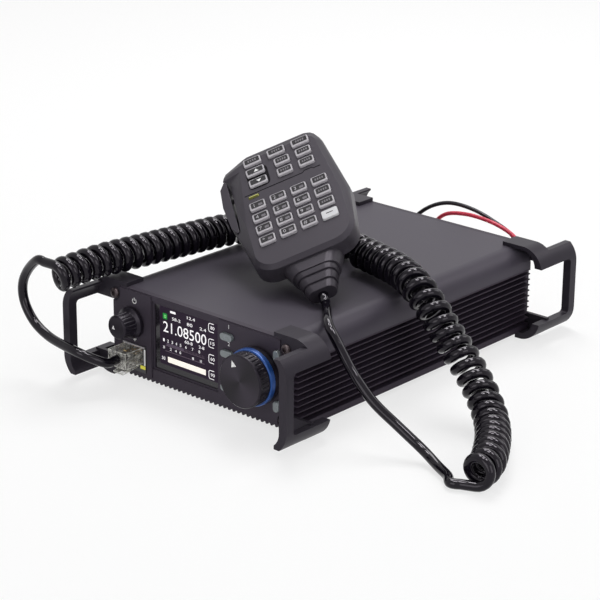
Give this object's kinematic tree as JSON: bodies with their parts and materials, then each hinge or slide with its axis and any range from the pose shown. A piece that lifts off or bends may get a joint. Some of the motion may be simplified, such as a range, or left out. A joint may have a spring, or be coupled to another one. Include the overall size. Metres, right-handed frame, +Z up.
{
  "type": "mobile transceiver",
  "caption": "Compact finned transceiver with guard handles, tuning and volume knobs, soft keys, screen, and a keypad hand microphone on a curly cord.",
  "frame": {"origin": "ground level under the middle of the case and its handles", "axes": "+X to the right seen from the front, +Y to the rear, +Z up"},
  "size_m": [0.2607, 0.2681, 0.11],
  "materials": {
    "case_paint": "matte",
    "case_fins": "satin",
    "panel": "matte",
    "screen": "gloss",
    "board": "satin",
    "socket_resin": "satin",
    "steel": "satin",
    "handle_paint": "satin",
    "screw_steel": "satin",
    "socket_nickel": "gloss",
    "black_plastic": "satin",
    "mic_plastic": "matte",
    "mic_rubber": "matte",
    "cord_jacket": "gloss",
    "clear_plastic": "gloss",
    "red_jacket": "gloss",
    "black_jacket": "gloss",
    "knob": "satin",
    "ring_blue": "satin",
    "panel_key": "satin",
    "mic_key": "satin",
    "mic_key_white": "satin"
  },
  "bodies": {
    "radio": {"upper_case": "case_paint", "lower_case": "case_fins", "front_panel": "panel", "rear_panel": "panel", "display_module": "screen", "front_board": "board", "mic_socket": "socket_resin", "volume_control": "steel", "tuning_encoder": "steel", "front_handles": "handle_paint", "rear_handles": "handle_paint", "handle_screws": "screw_steel", "antenna_socket": "socket_nickel", "power_inlet": "black_plastic", "mic_front_shell": "mic_plastic", "mic_rear_shell": "mic_plastic", "mic_strain_relief": "cord_jacket", "mic_plug": "clear_plastic", "mic_plug_tail": "cord_jacket", "mic_shell_tail": "cord_jacket", "mic_cord_curl": "cord_jacket", "power_lead_red": "red_jacket", "power_lead_black": "black_jacket", "power_coil_red": "red_jacket", "power_coil_black": "black_jacket"},
    "volume_knob": {"volume_knob": "knob"},
    "tuning_knob": {"tuning_knob": "knob", "tuning_ring": "ring_blue"},
    "mic_talk_bar": {"mic_talk_bar": "mic_rubber"},
    "soft_key_1": {"soft_key_1": "panel_key"},
    "soft_key_2": {"soft_key_2": "panel_key"},
    "soft_key_3": {"soft_key_3": "panel_key"},
    "soft_key_4": {"soft_key_4": "panel_key"},
    "side_key_upper": {"side_key_upper": "panel_key"},
    "side_key_lower": {"side_key_lower": "panel_key"},
    "mic_key_1": {"mic_key_1": "mic_key"},
    "mic_key_2": {"mic_key_2": "mic_key"},
    "mic_key_3": {"mic_key_3": "mic_key"},
    "mic_key_4": {"mic_key_4": "mic_key"},
    "mic_key_5": {"mic_key_5": "mic_key"},
    "mic_key_6": {"mic_key_6": "mic_key"},
    "mic_key_7": {"mic_key_7": "mic_key"},
    "mic_key_8": {"mic_key_8": "mic_key"},
    "mic_key_9": {"mic_key_9": "mic_key"},
    "mic_key_10": {"mic_key_10": "mic_key"},
    "mic_key_11": {"mic_key_11": "mic_key"},
    "mic_key_12": {"mic_key_12": "mic_key"},
    "mic_key_13": {"mic_key_13": "mic_key"},
    "mic_key_14": {"mic_key_14": "mic_key"},
    "mic_key_15": {"mic_key_15": "mic_key"},
    "mic_key_16": {"mic_key_16": "mic_key_white"},
    "mic_key_17": {"mic_key_17": "mic_key"},
    "mic_key_18": {"mic_key_18": "mic_key"},
    "mic_key_19": {"mic_key_19": "mic_key"},
    "mic_key_20": {"mic_key_20": "mic_key"},
    "mic_key_21": {"mic_key_21": "mic_key"},
    "mic_key_22": {"mic_key_22": "mic_key"},
    "mic_key_23": {"mic_key_23": "mic_key"},
    "mic_key_24": {"mic_key_24": "mic_key"},
    "mic_key_25": {"mic_key_25": "mic_key"}
  },
  "joints": [
    {"name": "volume_turn", "type": "hinge", "parent": "radio", "child": "volume_knob", "pos_m": [-0.0437, -0.1, 0.0313], "axis": [0, 1, 0], "range_deg": [-60, 240]},
    {"name": "tuning_turn", "type": "hinge", "parent": "radio", "child": "tuning_knob", "pos_m": [0.04, -0.1, 0.0273], "axis": [0, 1, 0], "continuous": true},
    {"name": "soft_key_1_press", "type": "slide", "parent": "radio", "child": "soft_key_1", "axis": [0, 1, 0], "range_m": [0, 0.0008], "stiffness_N_per_m": 900},
    {"name": "soft_key_2_press", "type": "slide", "parent": "radio", "child": "soft_key_2", "axis": [0, 1, 0], "range_m": [0, 0.0008], "stiffness_N_per_m": 900},
    {"name": "soft_key_3_press", "type": "slide", "parent": "radio", "child": "soft_key_3", "axis": [0, 1, 0], "range_m": [0, 0.0008], "stiffness_N_per_m": 900},
    {"name": "soft_key_4_press", "type": "slide", "parent": "radio", "child": "soft_key_4", "axis": [0, 1, 0], "range_m": [0, 0.0008], "stiffness_N_per_m": 900},
    {"name": "side_key_upper_press", "type": "slide", "parent": "radio", "child": "side_key_upper", "axis": [0, 1, 0], "range_m": [0, 0.0008], "stiffness_N_per_m": 900},
    {"name": "side_key_lower_press", "type": "slide", "parent": "radio", "child": "side_key_lower", "axis": [0, 1, 0], "range_m": [0, 0.0008], "stiffness_N_per_m": 900},
    {"name": "talk_bar_press", "type": "slide", "parent": "radio", "child": "mic_talk_bar", "axis": [0.6681, 0.623, 0.4067], "range_m": [0, 0.0012], "stiffness_N_per_m": 900},
    {"name": "mic_key_1_press", "type": "slide", "parent": "radio", "child": "mic_key_1", "axis": [-0.0575, 0.5883, -0.8066], "range_m": [0, 0.0007], "stiffness_N_per_m": 700},
    {"name": "mic_key_2_press", "type": "slide", "parent": "radio", "child": "mic_key_2", "axis": [-0.0575, 0.5883, -0.8066], "range_m": [0, 0.0007], "stiffness_N_per_m": 700},
    {"name": "mic_key_3_press", "type": "slide", "parent": "radio", "child": "mic_key_3", "axis": [-0.0575, 0.5883, -0.8066], "range_m": [0, 0.0007], "stiffness_N_per_m": 700},
    {"name": "mic_key_4_press", "type": "slide", "parent": "radio", "child": "mic_key_4", "axis": [-0.0575, 0.5883, -0.8066], "range_m": [0, 0.0007], "stiffness_N_per_m": 700},
    {"name": "mic_key_5_press", "type": "slide", "parent": "radio", "child": "mic_key_5", "axis": [-0.0575, 0.5883, -0.8066], "range_m": [0, 0.0007], "stiffness_N_per_m": 700},
    {"name": "mic_key_6_press", "type": "slide", "parent": "radio", "child": "mic_key_6", "axis": [-0.0575, 0.5883, -0.8066], "range_m": [0, 0.0007], "stiffness_N_per_m": 700},
    {"name": "mic_key_7_press", "type": "slide", "parent": "radio", "child": "mic_key_7", "axis": [-0.0575, 0.5883, -0.8066], "range_m": [0, 0.0007], "stiffness_N_per_m": 700},
    {"name": "mic_key_8_press", "type": "slide", "parent": "radio", "child": "mic_key_8", "axis": [-0.0575, 0.5883, -0.8066], "range_m": [0, 0.0007], "stiffness_N_per_m": 700},
    {"name": "mic_key_9_press", "type": "slide", "parent": "radio", "child": "mic_key_9", "axis": [-0.0575, 0.5883, -0.8066], "range_m": [0, 0.0007], "stiffness_N_per_m": 700},
    {"name": "mic_key_10_press", "type": "slide", "parent": "radio", "child": "mic_key_10", "axis": [-0.0575, 0.5883, -0.8066], "range_m": [0, 0.0007], "stiffness_N_per_m": 700},
    {"name": "mic_key_11_press", "type": "slide", "parent": "radio", "child": "mic_key_11", "axis": [-0.0575, 0.5883, -0.8066], "range_m": [0, 0.0007], "stiffness_N_per_m": 700},
    {"name": "mic_key_12_press", "type": "slide", "parent": "radio", "child": "mic_key_12", "axis": [-0.0575, 0.5883, -0.8066], "range_m": [0, 0.0007], "stiffness_N_per_m": 700},
    {"name": "mic_key_13_press", "type": "slide", "parent": "radio", "child": "mic_key_13", "axis": [-0.0575, 0.5883, -0.8066], "range_m": [0, 0.0007], "stiffness_N_per_m": 700},
    {"name": "mic_key_14_press", "type": "slide", "parent": "radio", "child": "mic_key_14", "axis": [-0.0575, 0.5883, -0.8066], "range_m": [0, 0.0007], "stiffness_N_per_m": 700},
    {"name": "mic_key_15_press", "type": "slide", "parent": "radio", "child": "mic_key_15", "axis": [-0.0575, 0.5883, -0.8066], "range_m": [0, 0.0007], "stiffness_N_per_m": 700},
    {"name": "mic_key_16_press", "type": "slide", "parent": "radio", "child": "mic_key_16", "axis": [-0.0575, 0.5883, -0.8066], "range_m": [0, 0.0007], "stiffness_N_per_m": 700},
    {"name": "mic_key_17_press", "type": "slide", "parent": "radio", "child": "mic_key_17", "axis": [-0.0575, 0.5883, -0.8066], "range_m": [0, 0.0007], "stiffness_N_per_m": 700},
    {"name": "mic_key_18_press", "type": "slide", "parent": "radio", "child": "mic_key_18", "axis": [-0.0575, 0.5883, -0.8066], "range_m": [0, 0.0007], "stiffness_N_per_m": 700},
    {"name": "mic_key_19_press", "type": "slide", "parent": "radio", "child": "mic_key_19", "axis": [-0.0575, 0.5883, -0.8066], "range_m": [0, 0.0007], "stiffness_N_per_m": 700},
    {"name": "mic_key_20_press", "type": "slide", "parent": "radio", "child": "mic_key_20", "axis": [-0.0575, 0.5883, -0.8066], "range_m": [0, 0.0007], "stiffness_N_per_m": 700},
    {"name": "mic_key_21_press", "type": "slide", "parent": "radio", "child": "mic_key_21", "axis": [-0.0575, 0.5883, -0.8066], "range_m": [0, 0.0007], "stiffness_N_per_m": 700},
    {"name": "mic_key_22_press", "type": "slide", "parent": "radio", "child": "mic_key_22", "axis": [-0.0575, 0.5883, -0.8066], "range_m": [0, 0.0007], "stiffness_N_per_m": 700},
    {"name": "mic_key_23_press", "type": "slide", "parent": "radio", "child": "mic_key_23", "axis": [-0.0575, 0.5883, -0.8066], "range_m": [0, 0.0007], "stiffness_N_per_m": 700},
    {"name": "mic_key_24_press", "type": "slide", "parent": "radio", "child": "mic_key_24", "axis": [-0.0575, 0.5883, -0.8066], "range_m": [0, 0.0007], "stiffness_N_per_m": 700},
    {"name": "mic_key_25_press", "type": "slide", "parent": "radio", "child": "mic_key_25", "axis": [-0.0575, 0.5883, -0.8066], "range_m": [0, 0.0007], "stiffness_N_per_m": 700}
  ]
}
